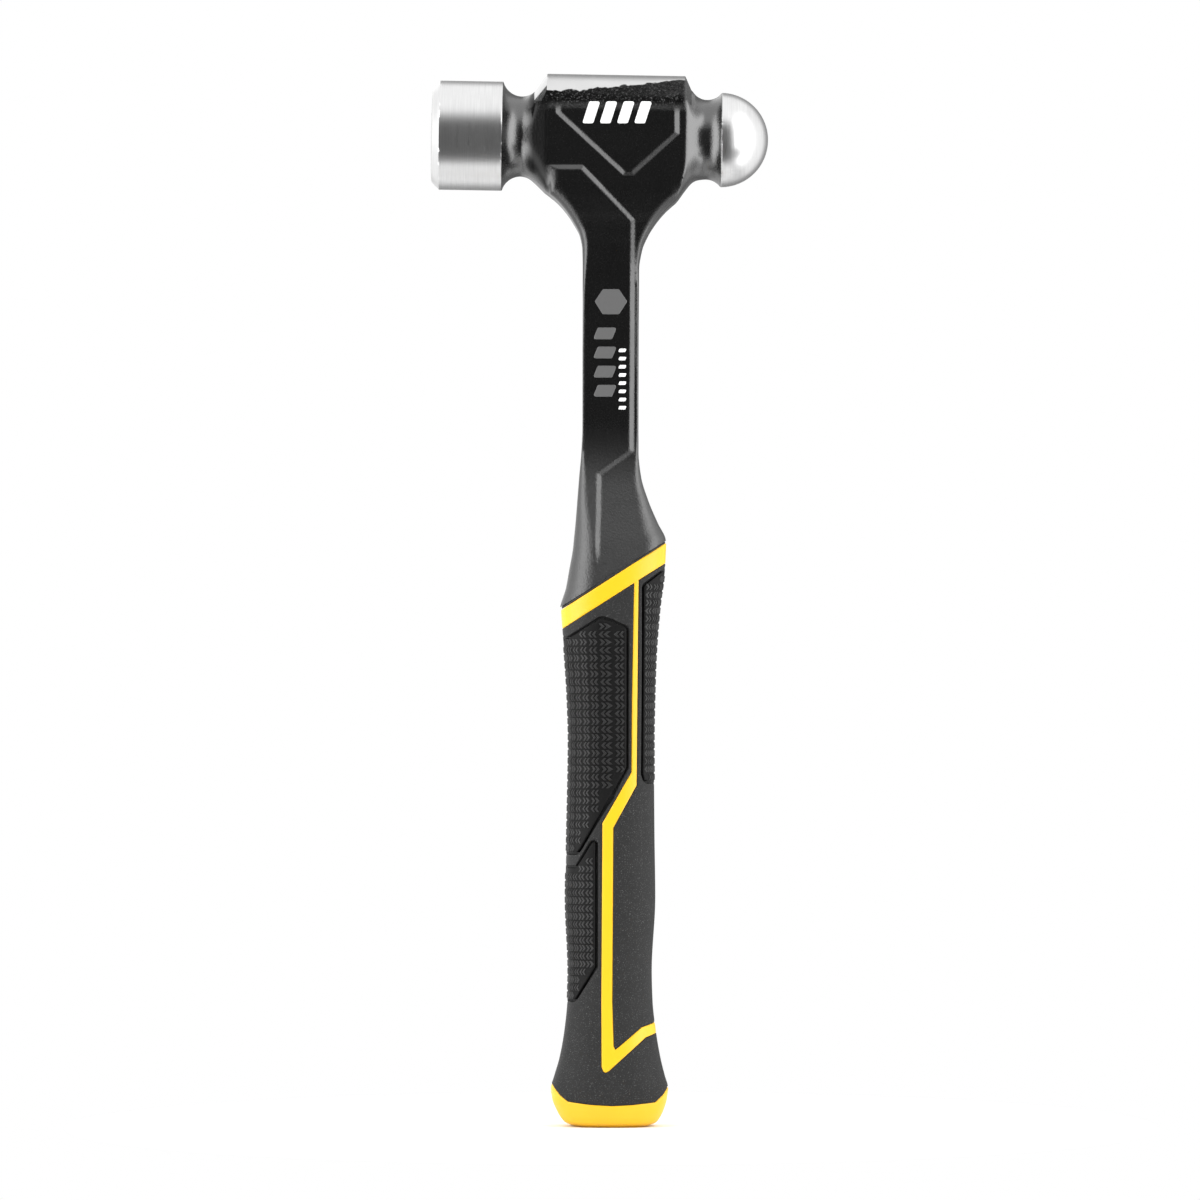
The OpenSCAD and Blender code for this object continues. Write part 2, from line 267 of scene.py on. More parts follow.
def dual_contour(field, blocks, step):
    """Quads on the field's zero surface, with points drawn onto its creases.

    blocks are boxes that hold the surface; outside them the field counts as positive."""
    lo = np.min([b[0] for b in blocks], axis=0)
    size = np.ceil((np.max([b[1] for b in blocks], axis=0) - lo) / step).astype(int) + 1
    grid = np.ones(size, np.float32)
    for b_lo, b_hi in blocks:
        a = np.floor((np.array(b_lo) - lo) / step).astype(int)
        b = np.minimum(np.ceil((np.array(b_hi) - lo) / step).astype(int) + 1, size)
        axes = [lo[k] + step * np.arange(a[k], b[k]) for k in range(3)]
        x, z = np.meshgrid(axes[0], axes[2], indexing="ij")
        grid[a[0]:b[0], a[1]:b[1], a[2]:b[2]] = field(
            x[:, None, :], axes[1][None, :, None], z[:, None, :])
    inside = grid < 0

    starts, ends, quads, flips = [], [], [], []
    for axis in range(3):
        first = [slice(None)] * 3
        second = [slice(None)] * 3
        first[axis], second[axis] = slice(0, -1), slice(1, None)
        index = np.argwhere(inside[tuple(first)] != inside[tuple(second)])
        far_end = index.copy()
        far_end[:, axis] += 1
        starts.append(index)
        ends.append(far_end)
        p, q = np.zeros(3, int), np.zeros(3, int)
        p[(axis + 1) % 3], q[(axis + 2) % 3] = 1, 1
        quads.append(np.stack([index - p - q, index - q, index, index - p], axis=1))
        flips.append(~inside[tuple(index.T)])
    start, end = np.concatenate(starts), np.concatenate(ends)
    quad, flip = np.concatenate(quads), np.concatenate(flips)

    low, high = lo + start * step, lo + end * step
    f_low, f_high = grid[tuple(start.T)].astype(float), grid[tuple(end.T)].astype(float)
    for _ in range(3):                             # close in on the surface
        point = low + (high - low) * (f_low / (f_low - f_high))[:, None]
        f = field(*point.T)
        same = (f < 0) == (f_low < 0)
        low = np.where(same[:, None], point, low)
        high = np.where(same[:, None], high, point)
        f_low, f_high = np.where(same, f, f_low), np.where(same, f_high, f)
        f_low = np.where(f_low == f_high, f_low + 1e-9, f_low)
    point = low + (high - low) * (f_low / (f_low - f_high))[:, None]
    h = 0.04                                       # half step of the field's slope
    normal = np.stack([field(*(point + h * e).T) - field(*(point - h * e).T)
                       for e in np.eye(3)], axis=1)
    normal /= np.maximum(np.linalg.norm(normal, axis=1), 1e-9)[:, None]

    key = (quad[..., 0] * size[1] + quad[..., 1]) * size[2] + quad[..., 2]
    cells, where = np.unique(key.ravel(), return_inverse=True)
    where = where.ravel()
    n, p = np.repeat(normal, 4, axis=0), np.repeat(point, 4, axis=0)
    count = np.bincount(where)

    def total(v):
        return np.bincount(where, weights=v)

    centre = np.stack([total(p[:, k]) for k in range(3)], axis=1) / count[:, None]
    lhs = np.stack([[total(n[:, i] * n[:, j]) for j in range(3)] for i in range(3)])
    lhs = np.moveaxis(lhs, -1, 0) + 0.06 * np.eye(3)
    reach = np.einsum("ij,ij->i", n, p - centre[where])
    rhs = np.stack([total(n[:, k] * reach) for k in range(3)], axis=1)
    place = centre + np.linalg.solve(lhs, rhs[..., None])[..., 0]
    corner = np.stack([cells // (size[1] * size[2]), cells // size[2] % size[1],
                       cells % size[2]], axis=1)
    place = np.clip(place, lo + corner * step, lo + (corner + 1) * step)
    faces = where.reshape(-1, 4)
    faces[flip] = faces[flip][:, ::-1]
    return place, faces


# ------------------------ making pieces

def new_piece(name, verts, faces, material, slot=None, replaces=None, sharp=35.0):
    """A mesh object from millimetre points, smooth but for edges above the sharp angle."""
    mesh = bpy.data.meshes.new(name)
    mesh.from_pydata((np.asarray(verts, float) * MM).tolist(), [], [list(map(int, f)) for f in faces])
    merged = bmesh.new()
    merged.from_mesh(mesh)
    bmesh.ops.remove_doubles(merged, verts=merged.verts, dist=SAME_POINT)
    merged.to_mesh(mesh)
    merged.free()
    mesh.validate()
    mesh.shade_smooth()
    mesh.set_sharp_from_angle(angle=math.radians(sharp))
    piece = bpy.data.objects.new(name, mesh)
    bpy.context.scene.collection.objects.link(piece)
    mesh.materials.append(material)
    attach(piece, BODY)
    if replaces:
        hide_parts(replaces)
    return piece


# ------------------------ the grip's surface

grip_at = smooth_table(GRIP)
HALF_TURN = 44.0                   # length given to half a turn in the grip's flat layout


def grip_point(turn, z, grow=0.0):
    """A point on the grip's front half. turn runs from 0 at the finger side to 1 at the palm."""
    left, right, depth, square = np.moveaxis(grip_at(z), -1, 0)
    c, s = np.cos(np.pi * turn), np.sin(np.pi * turn)
    reach = np.where(c < 0, left, right) + grow
    x = np.sign(c) * reach * np.abs(c) ** (2 / square)
    y = -(depth + grow) * np.abs(s) ** (2 / square)
    return np.stack([x, y, z + 0 * x], axis=-1)


def turn_of(x, z):
    """The turn at which the grip's surface has this x, held at its two edges."""
    left, right, depth, square = np.moveaxis(grip_at(z), -1, 0)
    share = np.clip(x / np.where(x < 0, left, right), -1, 1)
    return np.arccos(np.sign(share) * np.abs(share) ** (square / 2)) / np.pi


def collar_edge(x, drop=0.0):
    """Height of the collar's slanted plane at x, moved down by drop."""
    return COLLAR_Z - drop + x * COLLAR_TAN


EDGE = 60.0                        # an x past the grip's edge, where an outline wraps round it

# Lines of the grip's layout seen from the front; each runs from edge to edge or is closed.
CAP_EDGE = [(-EDGE, 16.2), (-21.7, 15.4), (-18.8, 11.8), (-16, 9.6), (-8, 8.6), (0.4, 8.1), (8, 8.5),
            (16.4, 9.3), (19, 11.6), (21.4, 14.8), (EDGE, 15.6)]
STRIPE_LEFT = [(8.7, 203), (8.4, 190), (7.8, 156), (7.6, 130), (-3.2, 111.4), (-3.6, 46.6),
               (-3.5, 22.6), (-2.9, 20.8), (-2.2, 20.3), (-1.2, 20.6), (-0.6, 21), (12.9, 33),
               (17.2, 34.4), (EDGE, 34.8)]
STRIPE_RIGHT = [(10.3, 203), (10, 180), (9.8, 156), (9.5, 125.2), (0.9, 109.7), (0.5, 46.4),
                (1, 30), (1.6, 28.6), (2.7, 29.4), (11.4, 36.7), (16.6, 38.2), (EDGE, 38.4)]
PADS = {
    "palm_pad_upper": [(-EDGE, 178.9), (-15.9, 178.7), (-3.9, 186), (-3, 186.2), (5.2, 182.9),
                       (5.7, 182.2), (5.7, 131.8), (-11.4, 102.2), (-12.6, 100.7), (-EDGE, 100.8)],
    "palm_pad_lower": [(-EDGE, 95.5), (-12.8, 94.9), (-6.9, 104.3), (-6.3, 104.5), (-5.9, 104),
                       (-5.9, 59), (-13, 47.3), (-13.8, 46.8), (-EDGE, 46.8)],
    "finger_pad": [(EDGE, 204.6), (19.4, 203.6), (12.8, 198.6), (12.4, 197.8), (11.8, 129.4),
                   (12.4, 127.3), (13.4, 126.7), (EDGE, 126.6)],
}


def dense(points, gap=0.7):
    """The points of a line, with more of them on its long stretches."""
    out = []
    for a, b in zip(points, points[1:]):
        n = max(1, math.ceil(math.dist(a, b) / gap))
        out += [(a[0] + (b[0] - a[0]) * k / n, a[1] + (b[1] - a[1]) * k / n) for k in range(n)]
    return out + [points[-1]]


def to_layout(points):
    """Front-view points as flat layout points, with the stretches past an edge left out."""
    p = np.array(dense(points))
    flat = np.stack([turn_of(p[:, 0], p[:, 1]) * HALF_TURN, p[:, 1]], axis=1)
    at_edge = (flat[:, 0] < 1e-6) | (flat[:, 0] > HALF_TURN - 1e-6)
    first = np.argmax(~at_edge)
    last = len(flat) - 1 - np.argmax(~at_edge[::-1])
    keep = flat[max(first - 1, 0):last + 2]
    gap = np.linalg.norm(np.diff(keep, axis=0), axis=1) > 0.02
    return keep[np.concatenate([[True], gap])]


def slanted_line(drop, grow=0.0):
    """The collar's slanted plane, moved down by drop, where it meets the grown grip surface."""
    turn = np.linspace(0, 1, 81)
    z = np.full(81, COLLAR_Z)
    for _ in range(12):
        z = collar_edge(grip_point(turn, z, grow)[:, 0], drop)
    return np.stack([turn * HALF_TURN, z], axis=1)


def offset_line(line, distance):
    """A line moved sideways, to its left for a distance above zero."""
    t = np.gradient(line, axis=0)
    t /= np.maximum(np.linalg.norm(t, axis=1), 1e-9)[:, None]
    return line + distance * np.stack([-t[:, 1], t[:, 0]], axis=1)


def line_distance(points, lines):
    """Distance from each point to the nearest of several lines' points, as segments."""
    best = np.full(len(points), 1e9)
    for line in lines:
        for a, b in zip(line, line[1:]):
            near = (np.abs(points[:, 1] - a[1]) < 6) & (np.abs(points[:, 0] - a[0]) < 6)
            if not near.any():
                continue
            e, p = b - a, points[near] - a
            t = np.clip(p @ e / max(e @ e, 1e-12), 0, 1)
            best[near] = np.minimum(best[near], np.linalg.norm(p - t[:, None] * e, axis=1))
    return best


def within(points, line, corner):
    """Which points lie inside a line that is closed by way of the corner points."""
    loop = [tuple(p) for p in line] + list(corner)
    return outline_distance(points[:, 0], points[:, 1], loop) > 0


# ------------------------ the grip's flat layout

RIM = (0.1, 0.27, 0.5)             # distances from a line where the layout gets extra points
PAD_INNER_X = {"palm_pad_upper": 5.7, "palm_pad_lower": -5.9, "finger_pad": 12.1}
CHEVRON_MARGIN = 0.35              # bare strip along a pad's inner side
CHEVRON_CLEAR = 1.4                # least distance of a chevron's middle from the pad's border
LOW, HIGH = -99, 999               # heights past both ends of the layout, to close an outline there
SNAP = 1.5                         # an end of a line this near the grip's edge is moved onto it


def make_layout():
    """Triangles of the grip's front half, with every line of it as an edge."""
    lines = {"top": slanted_line(0), "collar": slanted_line(COLLAR_H),
             "cap": to_layout(CAP_EDGE), "stripe_left": to_layout(STRIPE_LEFT),
             "stripe_right": to_layout(STRIPE_RIGHT)}
    for name, outline in PADS.items():
        lines[name] = to_layout(outline)
        side = 1 if name == "finger_pad" else -1
        lines[name + "_pocket"] = offset_line(lines[name], side * GROOVE_W)
    for line in lines.values():
        line[:, 0] = np.clip(line[:, 0], 0, HALF_TURN)
        for end in (0, -1):
            if line[end, 0] < SNAP or line[end, 0] > HALF_TURN - SNAP:
                line[end, 0] = 0 if line[end, 0] < SNAP else HALF_TURN
    verts, edges = [], []
    for line in lines.values():
        edges += [(len(verts) + k, len(verts) + k + 1) for k in range(len(line) - 1)]
        verts += [tuple(p) for p in line]
    for x in (0, HALF_TURN):
        side = [(x, z) for z in np.arange(4, 226, 1.2)]
        edges += [(len(verts) + k, len(verts) + k + 1) for k in range(len(side) - 1)]
        verts += side
    extra = []
    for line in lines.values():
        for d in RIM:
            for side in (-1, 1):
                ring = offset_line(line, side * d)
                near = line_distance(ring, lines.values())
                extra.append(ring[near > 0.9 * d])
    mesh_x, mesh_z = np.meshgrid(np.linspace(0, HALF_TURN, 36)[1:-1], np.arange(6, 216, 1.3))
    inner = np.stack([mesh_x.ravel(), mesh_z.ravel()], axis=1)
    extra.append(inner[line_distance(inner, lines.values()) > 0.8])
    extra = np.concatenate(extra)
    extra = extra[(extra[:, 0] > 0.3) & (extra[:, 0] < HALF_TURN - 0.3)]
    verts += [tuple(p) for p in extra]
    done = delaunay_2d_cdt([Vector(v) for v in verts], edges, [], 0, 1e-5)
    points = np.array([tuple(v) for v in done[0]])
    tris = np.array([tuple(f) for f in done[2]])
    return lines, points, tris


def layout_regions(lines, points, tris):
    """Which piece each triangle of the layout belongs to, and which lie in a pad's pocket."""
    mid = points[tris].mean(axis=1)
    low_finger, low_palm = (0, LOW), (HALF_TURN, LOW)
    below_top = within(mid, lines["top"], [low_palm, low_finger])
    band = below_top & ~within(mid, lines["collar"], [low_palm, low_finger])
    above_cap = ~within(mid, lines["cap"], [low_finger, low_palm])
    palm = within(mid, lines["stripe_left"], [low_finger, low_palm, (HALF_TURN, HIGH), (16, HIGH)])
    finger = within(mid, lines["stripe_right"], [(0, HIGH), (16, HIGH)])
    rubber = below_top & above_cap & ~band
    region = {"grip_skin": rubber & palm, "finger_skin": rubber & finger & ~palm}
    region["accent_frame"] = below_top & above_cap & ~region["grip_skin"] & ~region["finger_skin"]
    pocket = np.zeros(len(tris), bool)
    for name in PADS:
        region[name] = within(mid, lines[name], [])
        pocket |= within(mid, lines[name + "_pocket"], [])
    return region, pocket


def region_border(points, tris):
    """The region's border edges that are not on the grip's two mirror lines."""
    edge = np.concatenate([tris[:, [0, 1]], tris[:, [1, 2]], tris[:, [2, 0]]])
    key = np.sort(edge, axis=1)
    _, first, count = np.unique(key, axis=0, return_index=True, return_counts=True)
    single = edge[first[count == 1]]
    x = points[single][..., 0]
    on_mirror = (np.abs(x) < 1e-4).all(axis=1) | (np.abs(x - HALF_TURN) < 1e-4).all(axis=1)
    return single[~on_mirror]


def rounded_edge(distance, radius):
    """How far a rounded edge lies below its face at this distance from the border."""
    inward = radius - np.minimum(distance, radius)
    return radius - np.sqrt(np.maximum(radius ** 2 - inward ** 2, 0))


def mirrored(verts, faces):
    """Verts and faces with their mirror image across the plane y = 0 joined on."""
    seam = np.abs(verts[:, 1]) < 1e-6
    image = np.where(seam, np.arange(len(verts)), len(verts) + np.cumsum(~seam) - 1)
    other = verts[~seam] * [1, -1, 1]
    return np.concatenate([verts, other]), list(faces) + [[image[i] for i in f[::-1]] for f in faces]


def layout_solid(points, tris, height, depth):
    """A closed solid over the triangles, from depth under the grip's surface to height on it."""
    used, flat = np.unique(tris.ravel(), return_inverse=True)
    tri = flat.reshape(-1, 3)
    p, n = points[used], len(used)
    turn = np.clip(p[:, 0] / HALF_TURN, 0, 1)
    top = grip_point(turn, p[:, 1], height(p))
    bottom = grip_point(turn, p[:, 1], np.full(n, -depth))
    outer_x = grip_point(turn, p[:, 1])[:, 0]
    near_collar = ramp(p[:, 1] - collar_edge(outer_x), -20, 0)
    bottom[:, 2] += near_collar * (bottom[:, 0] - outer_x) * COLLAR_TAN
    border = region_border(p, tri)
    faces = [list(t[::-1]) for t in tri] + [list(t + n) for t in tri]
    faces += [[a, b, b + n, a + n] for a, b in border]
    verts = np.concatenate([top, bottom])
    verts[np.tile((p[:, 0] < 1e-4) | (p[:, 0] > HALF_TURN - 1e-4), 2), 1] = 0
    return verts, faces


def chevrons(points, tris, inner_x, cell=(3.1, 2.9), rise=0.3):
    """Raised double chevrons over a pad, in columns from the grip's edge to the pad's inner side."""
    border = region_border(points, tris)
    segments = [points[e] for e in border]
    lo, hi = points[tris].min(axis=(0, 1)), points[tris].max(axis=(0, 1))
    mirror = 0 if lo[0] < 1 else HALF_TURN
    up = np.arange(lo[1] + cell[1] / 2, hi[1], cell[1])
    side = turn_of(np.full(len(up), inner_x), up) * HALF_TURN
    side = side + CHEVRON_MARGIN * np.sign(mirror - side)
    columns = round(float(np.abs(mirror - side).mean()) / cell[0])
    centres = [(mirror + (edge - mirror) * (k + 0.5) / columns, z, 1 if row % 2 else -1)
               for row, (z, edge) in enumerate(zip(up, side)) for k in range(columns)]
    flat = np.array([c[:2] for c in centres])
    inside = np.zeros(len(flat), bool)
    for loop in closed_loops(border):
        inside |= outline_distance(flat[:, 0], flat[:, 1], [tuple(points[i]) for i in loop]) > 0
    inside &= line_distance(flat, segments) > CHEVRON_CLEAR
    verts, faces = [], []
    for (x, z, way), good in zip(centres, inside):
        for offset in (-0.62, 0.62) if good else ():
            n = len(verts)
            for half, lift in ((0.34, -0.06), (0.16, rise)):
                tall, tip = 0.85 + half, 1.35 * half
                shape = np.array([(-0.4 - half, tall), (half - 0.4, tall), (0.4 + tip, 0),
                                  (half - 0.4, -tall), (-0.4 - half, -tall), (0.4 - tip, 0)])
                shape = (shape + [offset, 0]) * [way, 1] + [x, z]
                verts += grip_point(shape[:, 0] / HALF_TURN, shape[:, 1], lift).tolist()
            ring = [[n + a, n + (a + 1) % 6, n + 6 + (a + 1) % 6, n + 6 + a] for a in range(6)]
            caps = [[n + 6, n + 7, n + 8, n + 11], [n + 11, n + 8, n + 9, n + 10],
                    [n + 5, n + 2, n + 1, n], [n + 4, n + 3, n + 2, n + 5]]
            faces += [f[::-1] if way > 0 else f for f in ring + caps]
    return np.array(verts).reshape(-1, 3), faces


def closed_loops(border):
    """The border's edges as loops of points, closed straight across where they end."""
    after = {a: b for a, b in border}
    starts = [a for a in after if a not in set(after.values())] or [next(iter(after))]
    loops = []
    for start in starts:
        loop, here = [start], after.get(start)
        while here is not None and here != start:
            loop.append(here)
            here = after.get(here)
        loops.append(loop)
    return loops


def joined(parts):
    """Several (verts, faces) pairs as one."""
    verts, faces, n = [], [], 0
    for v, f in parts:
        verts.append(v)
        faces += [[i + n for i in face] for face in f]
        n += len(v)
    return np.concatenate(verts), faces


# ------------------------ the grip's turned pieces

def ring_solid(rows, closed_bottom):
    """Rings of the grip's front half joined one to the next, and last to first if it stays open."""
    columns = rows.shape[1]
    verts = rows.reshape(-1, 3)
    faces = [[r * columns + c, r * columns + c + 1, (r + 1) * columns + c + 1, (r + 1) * columns + c]
             for r in range(len(rows) - 1) for c in range(columns - 1)]
    if closed_bottom:
        return verts, faces
    last = (len(rows) - 1) * columns
    faces += [[last + c, last + c + 1, c + 1, c] for c in range(columns - 1)]
    return verts, faces


def seal_solid(turns):
    """The thin seal on top of the collar, set back from the grip's surface."""
    rows = []
    for drop, grow in ((0, -SKIN_T), (0, -SEAL_INSET - 0.25), (-0.25, -SEAL_INSET),
                       (0.25 - SEAL_H, -SEAL_INSET), (-SEAL_H, -SEAL_INSET - 0.25), (-SEAL_H, -SKIN_T)):
        line = slanted_line(drop, grow)
        z = np.interp(turns * HALF_TURN, line[:, 0], line[:, 1])
        rows.append(grip_point(turns, z, grow))
    return ring_solid(np.array(rows)[::-1], closed_bottom=False)


def cap_solid(turns, lines):
    """The butt cap: its rim, the flared side and the flat bottom."""
    cap = lines["cap"][np.argsort(lines["cap"][:, 0])]
    edge = np.interp(turns * HALF_TURN, cap[:, 0], cap[:, 1])
    rows = [grip_point(turns, edge, -SKIN_T) * [1, 0, 1], grip_point(turns, edge, -SKIN_T)]
    for share, grow in ((0, -0.35), (0.012, -0.12), (0.03, -0.02), (0.06, 0)):
        rows.append(grip_point(turns, edge * (1 - share), grow))
    for share in np.linspace(0.06, 1, 26)[1:]:
        rows.append(grip_point(turns, edge * (1 - share), 0))
    for scale in (0.93, 0.8, 0.6, 0.4, 0.2, 0):
        rows.append(grip_point(turns, 0 * turns, 0) * [scale, scale, 1])
    return ring_solid(np.array(rows), closed_bottom=True)


# ------------------------ materials

def material(name):
    """A new node material, its tree, its Principled node and the object's own coordinates."""
    mat = bpy.data.materials.new(name)
    mat.use_nodes = True
    tree = mat.node_tree
    shader = next(n for n in tree.nodes if n.type == "BSDF_PRINCIPLED")
    at = tree.nodes.new("ShaderNodeTexCoord").outputs["Object"]
    return mat, tree, shader, at


def node(tree, kind, inputs=None, **settings):
    """Add a node, set its properties, and fill its inputs with values or linked sockets."""
    n = tree.nodes.new(kind)
    for key, value in settings.items():
        setattr(n, key, value)
    for key, value in (inputs or {}).items():
        if isinstance(value, bpy.types.NodeSocket):
            tree.links.new(value, n.inputs[key])
        else:
            n.inputs[key].default_value = value
    return n


def math_node(tree, operation, a, b=0.0, c=0.0, clamp=False):
    return node(tree, "ShaderNodeMath", {0: a, 1: b, 2: c}, operation=operation,
                use_clamp=clamp).outputs[0]


def noise(tree, coords, scale, detail=2.0, roughness=0.5):
    return node(tree, "ShaderNodeTexNoise", {"Vector": coords, "Scale": scale, "Detail": detail,
                                             "Roughness": roughness}).outputs["Fac"]


def step_up(tree, value, start, end):
    """0 below start, 1 above end, and smooth between."""
    n = node(tree, "ShaderNodeMapRange", {"Value": value, "From Min": start, "From Max": end},
             interpolation_type="SMOOTHSTEP")
    return n.outputs["Result"]


def mix_value(tree, share, a, b):
    return node(tree, "ShaderNodeMix", {0: share, 2: a, 3: b}, data_type="FLOAT").outputs[0]


def mix_colour(tree, share, a, b):
    return node(tree, "ShaderNodeMix", {0: share, 6: a, 7: b}, data_type="RGBA").outputs[2]


def grey(value):
    return (value, value, value, 1.0)


def finish_look(tree, shader, colour, roughness, height, strength, distance):
    """Link a look's colour and roughness, and its fine relief of this depth in metres."""
    tree.links.new(colour, shader.inputs["Base Color"])
    tree.links.new(roughness, shader.inputs["Roughness"])
    relief = node(tree, "ShaderNodeBump", {"Height": height, "Strength": strength, "Distance": distance})
    tree.links.new(relief.outputs["Normal"], shader.inputs["Normal"])


def forging_material():
    """Black-finished forging whose poll, ball and crown are ground bright."""
    mat, tree, shader, at = material("black_forging_with_ground_ends")

    calc, times = partial(math_node, tree), partial(math_node, tree, "MULTIPLY")

    def mask(value, start, end):
        """0 before start and 1 past end, both in millimetres."""
        return step_up(tree, value, start * MM, end * MM)

    def between(value, middle, half, soft):
        off = calc("ABSOLUTE", calc("SUBTRACT", value, middle))
        return step_up(tree, off, half + soft, half)

    # coordinates along the head's axis (u), across it (y) and up from it (w)
    turned = node(tree, "ShaderNodeMapping", {"Vector": at, "Location": (0, 0, -HEAD_Z * MM)},
                  vector_type="POINT").outputs[0]
    turned = node(tree, "ShaderNodeMapping", {"Vector": turned, "Rotation": (0, -HEAD_TILT, 0)},
                  vector_type="POINT").outputs[0]
    axes = node(tree, "ShaderNodeSeparateXYZ", {0: turned}).outputs
    u, y, w = axes[0], axes[1], axes[2]
    z = node(tree, "ShaderNodeSeparateXYZ", {0: at}).outputs[2]
    radius = calc("SQRT", calc("ADD", times(y, y), times(w, w)))

    # where the steel is bright
    poll_end = POLL_NECK_X - math.sqrt(POLL_GROOVE_R ** 2 - (POLL_NECK_R + POLL_GROOVE_R - POLL_R) ** 2)
    on_poll = mask(u, poll_end - 0.05, poll_end - 0.25)
    on_ball = mask(u, BALL_X + 0.05, BALL_X + 0.2)
    ragged = times(noise(tree, turned, 900, 3), 0.12 * MM)
    on_crown = mask(calc("ADD", radius, ragged), CROWN_R - 0.03, CROWN_R + 0.03)
    upper = mask(w, *GRIND_LOW)
    on_crown = times(on_crown, upper)
    cone = calc("SUBTRACT", times(calc("SUBTRACT", radius, CROWN_R * MM), CONE_L),
                calc("SUBTRACT", u, CROWN_ENDS[0] * MM))
    on_cone = times(between(cone, 0.0, 0.12 * MM, 0.1 * MM), times(mask(radius, 16.2, 16.6), upper))
    aside = calc("DIVIDE", calc("ABSOLUTE", y), calc("MAXIMUM", w, 1 * MM))
    on_cone = times(on_cone, step_up(tree, aside, 0.82, 0.76))
    on_top = calc("MAXIMUM", on_crown, on_cone)
    bright = calc("MAXIMUM", calc("MAXIMUM", on_poll, on_ball), on_top)
    dull = calc("SUBTRACT", 1.0, bright)

    # turning marks: fine rings round the head's axis, varied a little along each ring
    ring_at = node(tree, "ShaderNodeCombineXYZ",
                   {0: times(u, 2400.0), 1: times(y, 70.0), 2: times(w, 70.0)}).outputs[0]
    rings = noise(tree, ring_at, 1.0, 3, 0.65)
    cloud = noise(tree, turned, 95, 3)
    scratch = noise(tree, turned, 2600, 2)
    steel = mix_colour(tree, cloud, grey(0.60), grey(0.70))
    steel = mix_colour(tree, times(rings, 0.6), steel, grey(0.30))
    steel = mix_colour(tree, on_top, steel, mix_colour(tree, cloud, grey(0.44), grey(0.52)))
    steel_rough = mix_value(tree, rings, 0.24, 0.36)

    # the black finish: fine grain everywhere, a coarser skin on the forged shoulders and foot, painted
    # shade on the ramp down to the left neck, and a painted sheen that makes the necks, the lower left
    # neck and the foot paler
    peel = noise(tree, at, 1300, 2, 0.55)
    grain = noise(tree, at, 5200, 2)
    patch = noise(tree, at, 160, 4)
    crust = noise(tree, at, 1250, 5, 0.7)
    flakes = step_up(tree, noise(tree, at, 1500, 4, 0.65), 0.52, 0.68)
    shoulder = times(mask(w, 8, 13), between(u, 0.0, 26 * MM, 2 * MM))
    shoulder = times(shoulder, dull)
    foot = mask(z, 262, 232)
    neck = calc("MAXIMUM", mask(u, -29.5, -32.5), mask(u, 26, 29))
    low_neck = times(mask(w, -12, -16), mask(u, -22, -28))
    painted_shade_ramp = times(mask(u, -31, -28), mask(u, -22, -24))
    black = mix_colour(tree, patch, grey(0.066), grey(0.086))
    # painted shade: the ramp from the cheeks down to the left neck is painted nearly black
    black = mix_colour(tree, painted_shade_ramp, black, grey(0.016))
    black = mix_colour(tree, shoulder, black, mix_colour(tree, flakes, grey(0.004), grey(0.07)))
    # painted sheen: the necks, the lower left neck and the foot get a paler black so that their
    # reflections read brighter
    pale = calc("MAXIMUM", times(low_neck, 0.2), times(foot, 0.45))
    pale = calc("MAXIMUM", neck, pale)
    black = mix_colour(tree, pale, black, grey(0.115))
    black_rough = calc("ADD", mix_value(tree, peel, 0.22, 0.30), times(foot, 0.18))
    black_rough = calc("ADD", black_rough, times(shoulder, 0.12))

    shader.inputs["Metallic"].default_value = 1.0
    fine = calc("ADD", times(peel, calc("ADD", 0.7, times(foot, 1.3))), times(grain, 0.25))
    fine = calc("ADD", fine, times(times(crust, shoulder), 9.0))
    polish = calc("ADD", times(rings, 0.22), times(scratch, 0.06))
    finish_look(tree, shader, mix_colour(tree, bright, black, steel),
                mix_value(tree, bright, black_rough, steel_rough),
                mix_value(tree, bright, fine, polish), 0.6, 0.12 * MM)
    return mat


def rubber_material(name, shade, speckle, roughness, gloss):
    """Moulded rubber with a fine matt grain and pale speckles."""
    mat, tree, shader, at = material(name)
    fine, broad = noise(tree, at, 4200, 2, 0.7), noise(tree, at, 120, 3)
    dots = step_up(tree, noise(tree, at, 3000, 1), 0.60, 0.74)
    base = mix_colour(tree, broad, grey(shade * 0.86), grey(shade * 1.14))
    base = mix_colour(tree, math_node(tree, "MULTIPLY", dots, speckle), base, grey(0.16))
    shader.inputs["Specular IOR Level"].default_value = gloss
    finish_look(tree, shader, base, mix_value(tree, fine, roughness - 0.06, roughness + 0.08),
                fine, 0.35, 0.08 * MM)
    return mat


def accent_material():
    """Satin yellow moulded plastic with a faint grain and mould flow."""
    mat, tree, shader, at = material("yellow_moulded_plastic")
    fine, broad = noise(tree, at, 3600, 2, 0.6), noise(tree, at, 70, 3)
    base = mix_colour(tree, broad, (0.84, 0.455, 0.005, 1), (0.88, 0.505, 0.008, 1))
    finish_look(tree, shader, base, mix_value(tree, fine, 0.36, 0.50), fine, 0.25, 0.06 * MM)
    return mat


def even_look(name, shade, roughness, spread=(0.8, 1.2), rough=(-0.08, 0.08), scale=1800,
              relief=(0.3, 0.1 * MM)):
    """One dark or pale stuff, whose shade and roughness wander a little over a fine relief."""
    mat, tree, shader, at = material(name)
    fine = noise(tree, at, scale, 3)
    finish_look(tree, shader, mix_colour(tree, fine, *(grey(shade * s) for s in spread)),
                mix_value(tree, fine, *(roughness + r for r in rough)), fine, *relief)
    return mat


INK = {"spread": (0.94, 1.05), "rough": (0, 0.12), "scale": 2500, "relief": (0.2, 0.05 * MM)}


# ------------------------ building the hammer

